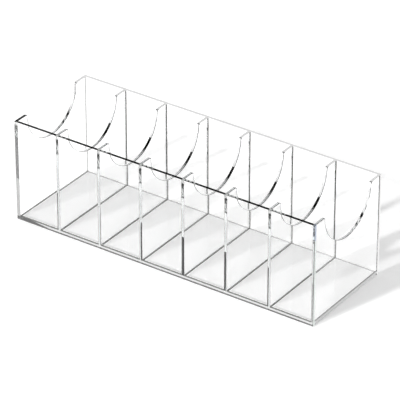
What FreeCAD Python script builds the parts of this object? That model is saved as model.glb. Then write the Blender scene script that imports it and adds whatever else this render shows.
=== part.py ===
import FreeCAD, Part

import os

# Clear acrylic storage box, open at the top, with a row of equal compartments.
# It is cut from one thickness of sheet and solvent cemented edge to face, with no fasteners.
# X runs along the row, Y from the front wall (low) to the back wall (high), and Z is up.
# The origin is on the underside, below the middle of the box. All sizes are in millimetres.

# Outside of the box
box_length = 360.0
box_depth = 120.0
box_height = 114.0

# Sheet that every panel is cut from
sheet_thickness = 3.0

# Row of compartments
compartment_count = 7

# Scoop in the top of each cross panel: a half circle struck from the rim,
# which leaves a flat-topped horn at the front and one at the back
horn_width = 16.0
shoulder_round = 3.0

# Small polished bevel that breaks the arris along every edge that a hand can touch
arris_bevel = 0.4

# Film of solvent cement between an edge and the face that it butts against
cement_film = 0.1

# How far the round cutter of the scoop stands out past each face of the sheet
cutter_overrun = 1.0

# Slack for telling whether an edge lies in a given plane
plane_slack = 0.001

# Largest share of the sheet's thickness that a bevel may take from one side
bevel_limit = 0.45


# Sizes that follow from the driving ones
half_length = box_length / 2
half_depth = box_depth / 2
inner_half_length = half_length - sheet_thickness
inner_half_depth = half_depth - sheet_thickness
divider_count = compartment_count - 1
compartment_width = (2 * inner_half_length - divider_count * sheet_thickness) / compartment_count
divider_pitch = compartment_width + sheet_thickness
cross_half_span = inner_half_depth - cement_film
scoop_radius = cross_half_span - horn_width
bevel = min(arris_bevel, bevel_limit * sheet_thickness)


def plate(x_low, x_high, y_low, y_high, z_low, z_high):
    """A rectangle of sheet between the given planes."""
    corner = FreeCAD.Vector(x_low, y_low, z_low)
    return Part.makeBox(x_high - x_low, y_high - y_low, z_high - z_low, corner)


def spread(edge, axis):
    """Lowest and highest place of an edge along one axis, 0 for X, 1 for Y and 2 for Z."""
    places = [vertex.Point[axis] for vertex in edge.Vertexes]
    return min(places), max(places)


def lies_in(edge, axis, place):
    """True if the whole edge lies in the plane that crosses the axis at this place."""
    low, high = spread(edge, axis)
    return abs(low - place) < plane_slack and abs(high - place) < plane_slack


def scooped_panel(x_low, foot):
    """A cross panel from its foot up to the rim, with the scoop and its rounded shoulders."""
    x_high = x_low + sheet_thickness
    blank = plate(x_low, x_high, -cross_half_span, cross_half_span, foot, box_height)
    cutter_start = FreeCAD.Vector(x_low - cutter_overrun, 0, box_height)
    cutter_length = sheet_thickness + 2 * cutter_overrun
    cutter = Part.makeCylinder(scoop_radius, cutter_length, cutter_start, FreeCAD.Vector(1, 0, 0))
    panel = blank.cut(cutter)
    corners = [
        edge
        for edge in panel.Edges
        if lies_in(edge, 2, box_height)
        and (lies_in(edge, 1, -scoop_radius) or lies_in(edge, 1, scoop_radius))
    ]
    return panel.makeFillet(shoulder_round, corners)


def is_rim_arris(edge, x_face, foot):
    """True for the edges along the horns, shoulders and scoop on one face of a cross panel."""
    if not lies_in(edge, 0, x_face):
        return False
    is_end = lies_in(edge, 1, -cross_half_span) or lies_in(edge, 1, cross_half_span)
    return not is_end and not lies_in(edge, 2, foot)


def make_divider(index):
    """Divider number index, counted from the left, standing on the base."""
    foot = sheet_thickness + cement_film
    x_low = -inner_half_length + index * divider_pitch - sheet_thickness
    x_high = x_low + sheet_thickness
    panel = scooped_panel(x_low, foot)
    rim = [
        edge
        for edge in panel.Edges
        if is_rim_arris(edge, x_low, foot) or is_rim_arris(edge, x_high, foot)
    ]
    return panel.makeChamfer(bevel, rim)


def make_end_wall(side):
    """The left (-1) or right (+1) end wall, which reaches down to the underside."""
    foot = 0.0
    x_low = min(side * half_length, side * inner_half_length)
    x_high = x_low + sheet_thickness
    panel = scooped_panel(x_low, foot)
    polished = [
        edge
        for edge in panel.Edges
        if is_rim_arris(edge, x_low, foot)
        or is_rim_arris(edge, x_high, foot)
        or (lies_in(edge, 0, side * half_length) and lies_in(edge, 2, foot))
    ]
    return panel.makeChamfer(bevel, polished)


def make_long_wall(side):
    """The front (-1) or back (+1) wall, which covers the edges of the end walls."""
    inner_face = side * inner_half_depth
    y_low = min(side * half_depth, inner_face)
    blank = plate(-half_length, half_length, y_low, y_low + sheet_thickness, 0, box_height)
    polished = [
        edge
        for edge in blank.Edges
        if not lies_in(edge, 1, inner_face) or lies_in(edge, 2, box_height)
    ]
    return blank.makeChamfer(bevel, polished)


def make_base():
    """The base, let in between the four walls and flush with their lower edges."""
    x_reach = inner_half_length - cement_film
    y_reach = inner_half_depth - cement_film
    return plate(-x_reach, x_reach, -y_reach, y_reach, 0, sheet_thickness)


def make_panels():
    """Every panel of the box, by name."""
    panels = {
        "base_panel": make_base(),
        "front_wall": make_long_wall(-1),
        "back_wall": make_long_wall(1),
        "left_end_wall": make_end_wall(-1),
        "right_end_wall": make_end_wall(1),
    }
    for index in range(1, compartment_count):
        panels[f"divider_{index}"] = make_divider(index)
    return panels


os.makedirs("parts", exist_ok=True)
print(f"compartments {compartment_width:.2f} wide, scoop radius {scoop_radius:.2f}")
for name, panel in make_panels().items():
    panel.exportStep(f"parts/{name}.step")
    print(f"{name}: {len(panel.Solids)} solid, {panel.Volume / 1000:.2f} cm3, valid {panel.isValid()}")
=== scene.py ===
# %% [markdown]
# # A clear acrylic storage box with seven compartments
#
# The real box is eleven pieces of clear cast acrylic, 3 mm thick, cemented edge to face. Nearly all
# of its look comes from its edges. A clean face hardly shows, but light that enters an edge is
# trapped between the faces, and it comes out white or black somewhere else. So the panels are
# rendered as real glass at their true thickness, and the care goes into four things: joints that
# let light pass as cement does, edges that are sawn or polished, the seams of cement, and a studio
# with both white and black in it.

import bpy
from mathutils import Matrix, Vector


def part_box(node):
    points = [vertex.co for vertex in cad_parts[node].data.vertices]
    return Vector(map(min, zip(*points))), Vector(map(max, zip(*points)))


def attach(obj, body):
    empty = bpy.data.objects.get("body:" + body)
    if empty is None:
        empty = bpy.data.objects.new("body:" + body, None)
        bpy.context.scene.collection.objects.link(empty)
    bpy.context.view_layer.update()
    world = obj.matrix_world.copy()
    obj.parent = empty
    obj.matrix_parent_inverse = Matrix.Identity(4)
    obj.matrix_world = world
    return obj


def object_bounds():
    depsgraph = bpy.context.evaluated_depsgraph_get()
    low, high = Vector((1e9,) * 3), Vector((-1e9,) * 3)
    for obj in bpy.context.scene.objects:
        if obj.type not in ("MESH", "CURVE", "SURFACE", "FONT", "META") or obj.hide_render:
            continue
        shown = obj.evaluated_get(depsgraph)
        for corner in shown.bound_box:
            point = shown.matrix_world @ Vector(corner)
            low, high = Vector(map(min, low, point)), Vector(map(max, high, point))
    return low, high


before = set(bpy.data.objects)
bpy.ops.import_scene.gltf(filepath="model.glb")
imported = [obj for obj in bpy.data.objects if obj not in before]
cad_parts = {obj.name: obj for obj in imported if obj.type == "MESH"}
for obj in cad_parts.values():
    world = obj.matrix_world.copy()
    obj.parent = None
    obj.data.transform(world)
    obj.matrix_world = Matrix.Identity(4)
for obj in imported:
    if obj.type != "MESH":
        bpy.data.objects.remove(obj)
cad_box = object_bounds()
print("panels in the frame:", sorted(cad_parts))

# %% [markdown]
# ## Sizes
#
# Every size that the looks need is read from the panels, so the script follows the model when it
# changes. The film of cement between an edge and a face is the gap under a divider. The origin is
# on the underside, below the middle of the box, so the left end has a negative x and the front a
# negative y.

# %% Modules and the sizes of the box
import math

import bpy
from mathutils import Vector

low_corner, high_corner = Vector(cad_box[0]), Vector(cad_box[1])
box_size = high_corner - low_corner
box_centre = (high_corner + low_corner) / 2
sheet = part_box("base_panel")[1].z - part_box("base_panel")[0].z
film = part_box("divider_1")[0].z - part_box("base_panel")[1].z
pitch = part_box("divider_2")[0].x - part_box("divider_1")[0].x
millimetre = 0.001
print(f"box {box_size.x:.3f} x {box_size.y:.3f} x {box_size.z:.3f} m")
print(f"sheet {sheet / millimetre:.2f} mm, film {film / millimetre:.2f} mm")
print(f"pitch of the cross panels {pitch / millimetre:.2f} mm")

# %% [markdown]
# ## Writing shader maths as Python
#
# A material's maths is easier to read as an expression than as a chain of nodes. Each socket is
# wrapped in a small class, so that a sum or a product of two values adds its own Math node. Every
# other node comes from one method, which sets the node up and then fills or links its inputs.


# %% A socket that can be added and multiplied
class Value:
    def __init__(self, maker, socket):
        self.maker, self.socket = maker, socket

    def maths(self, operation, *values):
        return self.maker.node("ShaderNodeMath", {"operation": operation}, dict(enumerate(values)))

    def __add__(self, other):
        return self.maths("ADD", self, other)

    def __sub__(self, other):
        return self.maths("SUBTRACT", self, other)

    def __mul__(self, other):
        return self.maths("MULTIPLY", self, other)

    def __pow__(self, other):
        return self.maths("POWER", self, other)

    def __gt__(self, other):
        return self.maths("GREATER_THAN", self, other)

    def __lt__(self, other):
        return self.maths("LESS_THAN", self, other)

    def __or__(self, other):
        return self.maths("MAXIMUM", self, other)

    def __rsub__(self, other):
        return self.maths("SUBTRACT", other, self)

    __radd__, __rmul__ = __add__, __mul__

    def __abs__(self):
        return self.maths("ABSOLUTE", self)


print("sums of sockets make their own nodes")


# %% A maker of nodes
class NodeMaker:
    def __init__(self, tree):
        self.tree = tree
        tree.nodes.clear()

    def node(self, kind, settings=None, inputs=None, output=0):
        made = self.tree.nodes.new(kind)
        for name, value in (settings or {}).items():
            setattr(made, name, value)
        for name, value in (inputs or {}).items():
            if isinstance(value, Value):
                self.tree.links.new(value.socket, made.inputs[name])
            else:
                made.inputs[name].default_value = value
        return Value(self, made.outputs[output]) if made.outputs else None

    def light_path(self, ray):
        return self.node("ShaderNodeLightPath", output=ray)

    def axes(self, vector):
        x_part = self.node("ShaderNodeSeparateXYZ", inputs={0: vector})
        return [Value(self, socket) for socket in x_part.socket.node.outputs]


def new_material(name):
    material = bpy.data.materials.new(name)
    material.use_nodes = True
    return material, NodeMaker(material.node_tree)


def lies_between(value, low, high):
    return (value > low) * (value < high)


def two_colours(share, first, second):
    """The first colour where the share is zero, and the second where it is one."""
    colours = {"Factor": share, 6: first, 7: second}
    return share.maker.node("ShaderNodeMix", {"data_type": "RGBA"}, colours, output=2)


def two_shaders(share, first, second):
    """The first shader where the share is zero, and the second where it is one."""
    return share.maker.node("ShaderNodeMixShader", inputs={0: share, 1: first, 2: second})


def noise(place, length, **more):
    """A soft random pattern, about 0.5 in the middle, whose blobs are about this long."""
    inputs = {"Vector": place, "Scale": 1 / length, **more}
    return place.maker.node("ShaderNodeTexNoise", inputs=inputs)


def fade(value, off, on):
    """A ramp from zero, where the value is at the first level, to one at the second."""
    inputs = {"Value": value, "From Min": off, "From Max": on}
    return value.maker.node("ShaderNodeMapRange", inputs=inputs)


def grey(level):
    return (level, level, level, 1.0)


print("shader helpers ready")

# %% [markdown]
# ## Where a point lies on the box
#
# All the panels are cut from the same sheet and share one material, and yet a cemented edge, a
# polished one and a sawn one look quite different. The panels are left as they are, in one shared
# frame, so a point's place and normal tell which finish it has. Each finish gets a mask, which is
# one on its surfaces and zero elsewhere.

# %% Place and slope in the acrylic material
straight, slanted = 0.9, 0.3

acrylic, maker = new_material("clear_acrylic")
place = maker.node("ShaderNodeTexCoord", output="Object")
x, y, z = maker.axes(place)
normal = maker.axes(maker.node("ShaderNodeNewGeometry", output="Normal"))
slope_x, slope_y, slope_z = [abs(part) for part in normal]
faces_x, faces_y = slope_x > straight, slope_y > straight
inner_x, inner_y = box_size.x / 2 - sheet, box_size.y / 2 - sheet


def at_plane(value, plane):
    """One within half a film, which tells a wall's face from the edge that is cemented to it."""
    return lies_between(value, plane - film / 2, plane + film / 2)


print(f"inner faces at x {inner_x / millimetre:.1f} mm and y {inner_y / millimetre:.1f} mm")

# %% [markdown]
# ## Where the cement joins two panels
#
# Solvent cement melts the acrylic, so a good joint is as clear as the sheet: light runs out of a
# divider straight into the front wall. In a path tracer, two glass faces that almost touch still
# have air between them, and mirror nearly all of that light. So on the upright joints and round the
# base the glass becomes perfectly transparent, which bends and mirrors nothing. The dividers' feet
# are left out: there the real joint is dry, and the light stays in the divider, which gives the
# black and white lines low on its front edge.

# %% The mask of the clear joints
edge_slack = 0.2 * film

long_wall_joint = faces_y * (at_plane(abs(y), inner_y) | at_plane(abs(y), inner_y - film))
end_wall_joint = faces_x * (at_plane(abs(x), inner_x) | at_plane(abs(x), inner_x - film))
from_left_end = x + (box_size.x - sheet) / 2
from_cross_panel = from_left_end.maths("PINGPONG", from_left_end, pitch / 2)
in_cross_panel = from_cross_panel < (sheet / 2 + edge_slack)
in_base = z < (sheet + film / 2)
clear_joint = long_wall_joint * (in_cross_panel | in_base) | end_wall_joint * in_base
print("nodes for the joints:", len(maker.tree.nodes))

# %% [markdown]
# ## Edges and bevels
#
# The photograph shows two sorts of edge. The front rim and the scoops are polished, and their small
# bevels draw dark lines, so these get a dark tint, which is painted shade. The whole rim near the
# left corner is painted darker still. The rims, ends and bevels at the back, the right ends of the
# long walls and the edges of the base are dull, as the saw or a sanding block leaves them, and
# their paleness is painted light: they glow. A few places differ again:
#
# - Low on the base's edge and under the front wall, painted shade makes the second dark line at the
#   foot, wider towards the left corner.
# - The joint at the front of the left end wall is painted grey with a glow, paler below its middle,
#   and that of the right end wall is painted with glowing pale and dark dashes near the rim.
# - The right end of the back wall glows nearly white. That of the front wall glows a pale green,
#   and blue beside the dashes.

# %% Masks of the bevels and of the faces as cast
bevel = 0.4 * millimetre
left_stretch_end = -135 * millimetre

along_long_walls = abs(y) > inner_y
sloping_y = lies_between(slope_y, slanted, straight) * along_long_walls
bevels = lies_between(slope_x, slanted, straight) | sloping_y
left_rim = (z > high_corner.z - bevel) * (y < 0) * (x < left_stretch_end)
cast_faces = faces_x * (abs(y) < inner_y) | faces_y * (abs(y) > inner_y - film / 2)
print("nodes with the bevels:", len(maker.tree.nodes))

# %% The mask of the painted shade at the foot
dark_height = 0.8 * millimetre
wedge_length = 25 * millimetre

# Painted shade: the underside of the front wall and the lowest part of the base's edge are painted
# dark, higher towards the left corner.
underside = (z < low_corner.z + film) * (y < -inner_y)
wedge_height = (left_stretch_end - x) * (sheet / wedge_length) * (y < 0)
shade_height = wedge_height | dark_height
shaded_base_edge = (z < shade_height) * (z < sheet) * at_plane(abs(y), inner_y - film)
painted_shade_foot = underside | shaded_base_edge
print("nodes with the foot:", len(maker.tree.nodes))

# %% Masks of the two joints with painted light
grey_joint_top, dashes_foot = 93 * millimetre, 96 * millimetre

end_wall_edges = faces_y * at_plane(y, film - inner_y) * (abs(x) > inner_x)
grey_joint = end_wall_edges * (x < 0) * lies_between(z, sheet, grey_joint_top)
dashed_joint = end_wall_edges * (x > 0) * (z > dashes_foot)
painted_joints = grey_joint | dashed_joint
print("nodes with the poor joints:", len(maker.tree.nodes))

# %% The mask of everything that isn't polished, with the edges of painted light and shade
back_rims = (z > high_corner.z - bevel) * (y > 0) | bevels * (y > inner_y)
right_or_back = (x > 0) | (y > 0)
wall_ends = faces_x * (abs(x) > box_size.x / 2 - film) * along_long_walls * right_or_back
long_edges = faces_y * at_plane(abs(y), inner_y - film)
short_edges = faces_x * at_plane(abs(x), inner_x - film)
base_edges = (long_edges | short_edges) * (z < sheet)
right_ends = x > box_size.x / 2 - film
white_end, front_end = right_ends * (y > inner_y), right_ends * (y < -inner_y)
sawn_and_painted_edges = back_rims | wall_ends | base_edges | painted_shade_foot | painted_joints
print("nodes with the sawn edges:", len(maker.tree.nodes))

# %% [markdown]
# ## Clear cast acrylic
#
# The sheet is glass with an index of 1.5, close to the 1.49 of acrylic. Cast sheet isn't quite
# flat: its faces roll by a few thousandths of a millimetre, and its polished edges have finer
# ripples, so both get a bump. Acrylic takes a little light on a long way through it, red first,
# which turns an edge grey-green: a plain absorbing volume does that. Lamps have to reach what is
# behind the panels, so for shadow rays and for light on its way to the floor the glass turns into a
# clear filter. It passes less at a glancing angle, as the real faces do.

# %% The relief and the tint of the polished sheet, with painted shade on its bevels and left rim
white, bevel_painted_shade, left_rim_painted_shade = grey(1.0), (0.1, 0.11, 0.1, 1.0), grey(0.02)
bump_detail = 1.0
face_roll, face_roll_length = 0.004 * millimetre, 14 * millimetre
edge_ripple, edge_ripple_length = 0.006 * millimetre, 1.6 * millimetre


def bumps(length, height):
    """Height in metres of smooth bumps that are about this long."""
    return noise(place, length, Detail=bump_detail) * height


ripples = bumps(edge_ripple_length, edge_ripple) * (1 - cast_faces)
relief = bumps(face_roll_length, face_roll) + ripples
# Painted shade: the front bevels and the rim near the left corner get a dark tint on the glass.
bevel_tint = two_colours(bevels * (y < 0), white, bevel_painted_shade)
tint = two_colours(left_rim, bevel_tint, left_rim_painted_shade)
print(f"faces roll by {face_roll / millimetre:.3f} mm over {face_roll_length / millimetre:.0f} mm")

# %% Polished glass
acrylic_ior = 1.5

glass = maker.node(
    "ShaderNodeBsdfPrincipled",
    inputs={
        "Base Color": tint,
        "Roughness": 0.0,
        "IOR": acrylic_ior,
        "Transmission Weight": 1.0,
        "Normal": maker.node("ShaderNodeBump", inputs={"Height": relief, "Distance": 1.0}),
    },
)
print("index of the glass", acrylic_ior)

# %% The painted light of the sawn edges: a glow
# Painted light: the sawn edges are rough, and an emission makes them glow pale.
painted_sawn_light, foot_glow, white_glow = grey(0.45), grey(0.03), grey(0.8)
green_glow, blue_glow = (0.6, 0.66, 0.63, 1.0), (0.34, 0.4, 0.5, 1.0)

# The painted shade at the foot keeps only a faint glow.
painted_edge_light = two_colours(painted_shade_foot, painted_sawn_light, foot_glow)
# Painted light: the right end of the back wall glows nearly white, and that of the front wall pale
# green, and blue high up beside the dashes.
painted_edge_light = two_colours(white_end, painted_edge_light, white_glow)
end_glow = two_colours(z > dashes_foot, green_glow, blue_glow)
painted_edge_light = two_colours(front_end, painted_edge_light, end_glow)
print("glow of the sawn edges", painted_sawn_light[0])

# %% The painted light of the two painted joints
grey_joint_middle = 47 * millimetre
grey_joint_pale, grey_joint_dark = grey(0.48), grey(0.13)
dash_pale, dash_dark = (0.85, 0.92, 1.0, 1.0), (0.02, 0.03, 0.07, 1.0)
dash_length, middle_of_noise = 3.2 * millimetre, 0.5

# Painted light: the left joint glows grey, paler low down, and the right one glows in pale and dark
# dashes.
grey_joint_glow = two_colours(z > grey_joint_middle, grey_joint_pale, grey_joint_dark)
painted_edge_light = two_colours(grey_joint, painted_edge_light, grey_joint_glow)
dash_glow = two_colours(noise(place, dash_length) > middle_of_noise, dash_dark, dash_pale)
painted_edge_light = two_colours(dashed_joint, painted_edge_light, dash_glow)
print(f"dashes about {dash_length / millimetre:.1f} mm long")

# %% Sawn edges on polished sheet, with their painted light and shade
sawn_share = 0.9
sawn_colour, painted_dark_colour = grey(0.3), grey(0.05)

sawn_and_glowing = maker.node(
    "ShaderNodeBsdfPrincipled",
    inputs={
        "Base Color": two_colours(painted_shade_foot | painted_joints, sawn_colour, painted_dark_colour),
        "Roughness": 1.0,
        "Emission Color": painted_edge_light,
        "Emission Strength": 1.0,
    },
)
sheet_surface = two_shaders(sawn_and_painted_edges * sawn_share, glass, sawn_and_glowing)
print("sawn share", sawn_share)

# %% Light that passes, and the finished material
straight_through, glancing_power = 0.91, 4.0
absorbing_colour, absorbing_density = (0.2, 0.3, 0.28, 1.0), 2.0

glancing = maker.node("ShaderNodeLayerWeight", output="Facing")
on_flat_face = (slope_x | slope_y | slope_z) > straight
passing = straight_through * (1 - glancing**glancing_power) * on_flat_face
for_lamps = maker.light_path("Is Shadow Ray") + maker.light_path("Is Diffuse Ray")
share = for_lamps * passing | clear_joint * (1 - sawn_and_painted_edges)
clear = maker.node("ShaderNodeBsdfTransparent", inputs={"Color": white})
surface = two_shaders(share, sheet_surface, clear)
absorbing = {"Color": absorbing_colour, "Density": absorbing_density}
volume = maker.node("ShaderNodeVolumeAbsorption", inputs=absorbing)
maker.node("ShaderNodeOutputMaterial", inputs={"Surface": surface, "Volume": volume})
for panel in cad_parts.values():
    for slot in panel.material_slots:
        slot.material = acrylic
print("acrylic on", len(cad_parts), "panels, made of", len(maker.tree.nodes), "nodes")

# %% [markdown]
# ## Cured cement
#
# A little cement runs out of each joint and cures in the inner corner as a hollow fillet. It is
# part clear and part cloudy, with tiny bubbles, and from a step away it is the thin dark line round
# every compartment. A mix of a dark satin surface and a transparent one, with a noise for the mix,
# gives such a broken line.

# %% Clouds and bubbles in the cement
cloud_length, bubble_length = 3.5 * millimetre, 0.7 * millimetre
bubble_from, bubble_to, bubble_relief = 0.62, 0.7, 0.05 * millimetre

cement, maker = new_material("cured_cement")
place = maker.node("ShaderNodeTexCoord", output="Object")
cloud = noise(place, cloud_length)
grain = noise(place, bubble_length)
bubbles = fade(grain, bubble_from, bubble_to)
uneven = maker.node("ShaderNodeBump", inputs={"Height": grain * bubble_relief, "Distance": 1.0})
print(f"bubbles about {bubble_length / millimetre:.1f} mm long")

# %% The cement material
cement_dark, cement_pale = (0.04, 0.043, 0.036, 1.0), (0.2, 0.21, 0.18, 1.0)
cement_roughness = 0.3
cement_share, cement_variation = 0.9, 0.4

satin = maker.node(
    "ShaderNodeBsdfPrincipled",
    inputs={
        "Base Color": two_colours(bubbles, cement_dark, cement_pale),
        "Roughness": cement_roughness,
        "IOR": acrylic_ior,
        "Normal": uneven,
    },
)
share = cement_share + (cloud - middle_of_noise) * cement_variation
clear = maker.node("ShaderNodeBsdfTransparent", inputs={"Color": white})
surface = two_shaders(share, clear, satin)
maker.node("ShaderNodeOutputMaterial", inputs={"Surface": surface})
print("materials:", acrylic.name, cement.name)

# %% [markdown]
# ## The seams of cement
#
# One compartment's seams are what is left in its corners when a block with rounded edges is taken
# out of a block with sharp ones. The sharp block nearly fills the compartment. The rounded one is a
# touch larger, so its flat faces swallow those of the first, and only the hollow fillets stay: four
# along the base and four up the corners. They are wide along the front and on the side from which
# the cement was fed, and a mere thread elsewhere. The first and the last compartment each differ
# from the rest at one edge, so the second one is modelled once for all those between them.

# %% Widths of the seams
front_seam, end_seam = 1.7 * millimetre, 1.5 * millimetre
fed_seam, back_seam, far_seam = 1.0 * millimetre, 0.8 * millimetre, 0.25 * millimetre
seam_rounds = 4
seam_clearance = 0.03 * millimetre
seam_top_drop = 0.6 * millimetre
print(f"seams from {far_seam / millimetre:.2f} to {front_seam / millimetre:.2f} mm wide")


# %% Helpers for blocks and for rounding their edges
def block(name, low, high):
    """A box-shaped mesh between two corners, with its object at the origin."""
    bpy.ops.object.select_all(action="DESELECT")
    bpy.ops.mesh.primitive_cube_add(size=1, location=(low + high) / 2, scale=high - low)
    bpy.ops.object.transform_apply(location=True, rotation=True, scale=True)
    made = bpy.context.object
    made.name = made.data.name = name
    return made


def round_edges(piece, width_at):
    """Rounds each edge by the width that the function gives for its two ends."""
    widths = []
    for edge in piece.data.edges:
        start, end = [piece.data.vertices[index].co for index in edge.vertices]
        widths.append(width_at(start, end))
    weights = piece.data.attributes.new("bevel_weight_edge", "FLOAT", "EDGE")
    for weight, width in zip(weights.data, widths):
        weight.value = width / max(widths)
    rounding = piece.modifiers.new("rounding", "BEVEL")
    rounding.limit_method, rounding.width, rounding.segments = "WEIGHT", max(widths), seam_rounds
    bpy.context.view_layer.objects.active = piece
    bpy.ops.object.modifier_apply(modifier=rounding.name)


print("block and rounding helpers ready")


# %% The corners of a compartment
def compartment_corners(left, right):
    """Lowest and highest inner corner of the compartment between two cross panels."""
    low = Vector((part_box(left)[1].x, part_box("front_wall")[1].y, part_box("base_panel")[1].z))
    high = Vector((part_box(right)[0].x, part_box("back_wall")[0].y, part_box(right)[1].z))
    return low, high


print("first compartment:", compartment_corners("left_end_wall", "divider_1"))


# %% The seams of one compartment
def model_seams(name, left, right, left_back, right_foot):
    """Seams between two panels, with the widths of the left back corner and of the right foot."""
    low, high = compartment_corners(left, right)
    air, drop = Vector((seam_clearance,) * 3), Vector((0, 0, seam_top_drop))
    sharp = block(name, low + air, high - air - drop)
    rounded = block("rounding_block", low + air / 2, high - air / 2 + drop)

    def width_at(start, end):
        if min(start.z, end.z) > high.z:
            return 0.0
        if abs(start.x - end.x) > sheet:
            return front_seam if start.y < 0 else far_seam
        is_foot = abs(start.y - end.y) > sheet
        if start.x > (low.x + high.x) / 2:
            return right_foot if is_foot else far_seam
        if is_foot:
            return fed_seam
        return left_back if start.y > 0 else far_seam

    round_edges(rounded, width_at)
    cut = sharp.modifiers.new("take_out_the_middle", "BOOLEAN")
    cut.operation, cut.solver, cut.object = "DIFFERENCE", "EXACT", rounded
    bpy.context.view_layer.objects.active = sharp
    bpy.ops.object.modifier_apply(modifier=cut.name)
    bpy.data.objects.remove(rounded)
    return sharp


print("seams ready to be modelled")

# %% The first two compartments
seams = [
    model_seams("cement_seam_1", "left_end_wall", "divider_1", far_seam, far_seam),
    model_seams("cement_seam_2", "divider_1", "divider_2", back_seam, far_seam),
]
print("seam faces:", [len(seam.data.polygons) for seam in seams])

# %% The other compartments
compartment_count = round((box_size.x - sheet) / pitch)

for number in range(len(seams) + 1, compartment_count):
    bpy.ops.object.select_all(action="DESELECT")
    seams[-1].select_set(True)
    bpy.context.view_layer.objects.active = seams[-1]
    bpy.ops.object.duplicate()
    copy = bpy.context.object
    copy.name = copy.data.name = f"cement_seam_{number}"
    bpy.ops.transform.translate(value=(pitch, 0, 0))
    bpy.ops.object.transform_apply(location=True, rotation=True, scale=True)
    seams.append(copy)
last_name, last_divider = f"cement_seam_{compartment_count}", f"divider_{compartment_count - 1}"
seams.append(model_seams(last_name, last_divider, "right_end_wall", back_seam, end_seam))
print("compartments:", compartment_count)

# %% The seams' material and place in the frame
for seam in seams:
    seam.data.materials.append(cement)
    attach(seam, "root")
print("seams:", [seam.name for seam in seams])

# %% [markdown]
# ## The floor
#
# The photograph's floor is pure white, with soft pale shadows behind the box. A white card under
# plain light comes out a little grey, so the floor adds a faint glow of its own. The glow is
# stronger for what is seen through or in the panels, because each face takes its part of the light.
# The lamps' light on the floor stays, and with it the shadows.

# %% A white floor that keeps the shadows
floor_width, floor_drop = 12.0, 0.2 * millimetre
floor_colour, floor_glow, glow_through_panels = grey(0.8), 0.28, 0.5

bpy.ops.object.select_all(action="DESELECT")
bpy.ops.mesh.primitive_plane_add(size=floor_width, location=(0, 0, low_corner.z - floor_drop))
floor = bpy.context.object
floor.name = "floor"
floor_material, maker = new_material("floor_white")
card = maker.node("ShaderNodeBsdfDiffuse", inputs={"Color": floor_colour})
through_panels = maker.light_path("Is Glossy Ray") | maker.light_path("Is Transmission Ray")
strength = maker.light_path("Is Camera Ray") * floor_glow + through_panels * glow_through_panels
glow = maker.node("ShaderNodeEmission", inputs={"Color": white, "Strength": strength})
surface = maker.node("ShaderNodeAddShader", inputs={0: card, 1: glow})
maker.node("ShaderNodeOutputMaterial", inputs={"Surface": surface})
floor.data.materials.append(floor_material)
print("floor glow", floor_glow, "and", glow_through_panels, "through the panels")

# %% [markdown]
# ## The studio round the box
#
# Clear acrylic shows only what it bends and mirrors, so a white room makes it vanish. A product
# studio puts white cards low down and black ones above: the faces stay white and the edges draw
# black lines. Here the world is that studio, white near the horizon and dark above it, with a white
# card in front and one behind on the right. The second one makes the lines low on the dividers.
# Light that enters a divider's front edge is mirrored about fourteen times between its faces, and
# once at its foot. After an odd number of turns it leaves to the right, into the white card, and
# after an even number to the left, into the dark, so each edge is part white and part black. The
# camera sees plain white, and the floor gets an even light.

# %% World
horizon_top, horizon_end = 0.15, 0.30
card_middle, card_edge = 0.93, 0.86
back_card, front_card = Vector((0.49, 0.71, 0.51)), Vector((-0.245, -0.808, 0.533))
dark_level, even_level = 0.02, 0.42

world = bpy.data.worlds.new("studio")
bpy.context.scene.world = world
world.use_nodes = True
maker = NodeMaker(world.node_tree)
towards = maker.axes(maker.node("ShaderNodeTexCoord", output="Generated"))


def white_card(centre):
    """One within a round card in this direction, and zero beyond its soft edge."""
    part_x, part_y, part_z = [value * part for value, part in zip(towards, centre.normalized())]
    return fade(part_x + part_y + part_z, card_edge, card_middle)


horizon = fade(towards[2], horizon_end, horizon_top)
cards = horizon | white_card(back_card) | white_card(front_card)
studio = cards * (1 - dark_level) + dark_level
to_floor = maker.light_path("Is Diffuse Ray")
strength = studio * (1 - to_floor) + to_floor * even_level | maker.light_path("Is Camera Ray")
sky = maker.node("ShaderNodeBackground", inputs={"Color": white, "Strength": strength})
maker.node("ShaderNodeOutputWorld", inputs={"Surface": sky})
print("world made of", len(world.node_tree.nodes), "nodes")

# %% [markdown]
# ## The key light
#
# The shadow on the photograph's floor starts at the front right corner and runs back and a little
# to the right, so the light stands in front, slightly to the left, about 32 degrees up. A distant
# lamp lights the floor evenly, and its width sets how soft the shadows are.

# %% Key lamp
light_travel = Vector((0.245, 0.808, -0.533))
lamp_width, lamp_strength = math.radians(3.0), 3.5

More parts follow.
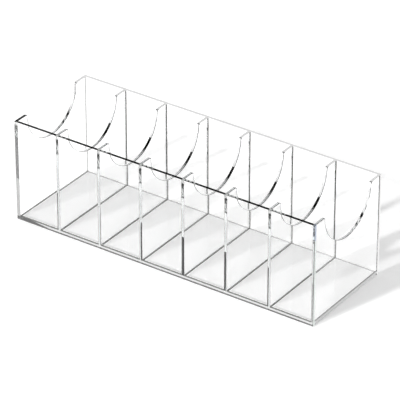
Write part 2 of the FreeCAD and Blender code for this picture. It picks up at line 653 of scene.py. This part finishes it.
lamp = bpy.data.lights.new("key_lamp", "SUN")
lamp.angle, lamp.energy = lamp_width, lamp_strength
key_lamp = bpy.data.objects.new("key_lamp", lamp)
bpy.context.scene.collection.objects.link(key_lamp)
key_lamp.rotation_euler = light_travel.to_track_quat("-Z", "Y").to_euler()
key_lamp.visible_glossy = False
key_lamp.visible_transmission = False
print("key lamp elevation", round(math.degrees(math.asin(-light_travel.normalized().z)), 1))

# %% [markdown]
# ## The camera
#
# The viewing angle was fitted to about thirty corners of the box in the photograph: 34.7 degrees
# round to the right and 30.4 degrees up, from a few metres away with a long lens.

# %% Camera
azimuth, elevation = math.radians(34.69), math.radians(30.44)
camera_distance = 9.016 * box_size.x
aim_right, aim_up = 0.013 * box_size.x, -0.009 * box_size.x
photo_width, lens_in_pixels = 400, 3248.2

level = Vector((-math.sin(azimuth), math.cos(azimuth), 0))
forward = level * math.cos(elevation) - Vector((0, 0, math.sin(elevation)))
right = Vector((math.cos(azimuth), math.sin(azimuth), 0))
up = right.cross(forward)
camera_data = bpy.data.cameras.new("camera")
camera_data.lens = lens_in_pixels / photo_width * camera_data.sensor_width
camera = bpy.data.objects.new("camera", camera_data)
bpy.context.scene.collection.objects.link(camera)
camera.location = box_centre - forward * camera_distance + right * aim_right + up * aim_up
camera.rotation_euler = forward.to_track_quat("-Z", "Y").to_euler()
bpy.context.scene.camera = camera
print(f"lens {camera_data.lens:.0f} mm at {camera_distance:.2f} m")

# %% [markdown]
# ## How far light is followed
#
# Light that is trapped in a panel bounces dozens of times between its faces. On the real box some
# is lost at each bounce, and what has gone through a whole wall comes out dark. A limit on the
# mirror bounces stands for that loss: the dividers' front edges, about fourteen bounces deep, stay
# bright in part, and the rims, over twenty deep, go dark.

# %% Colour and light paths
bounce_limit, mirror_limit = 64, 16

bpy.context.scene.view_settings.view_transform = "Standard"
cycles = bpy.context.scene.cycles
cycles.max_bounces = cycles.transmission_bounces = cycles.transparent_max_bounces = bounce_limit
cycles.glossy_bounces = mirror_limit
print("mirror bounces", cycles.glossy_bounces)
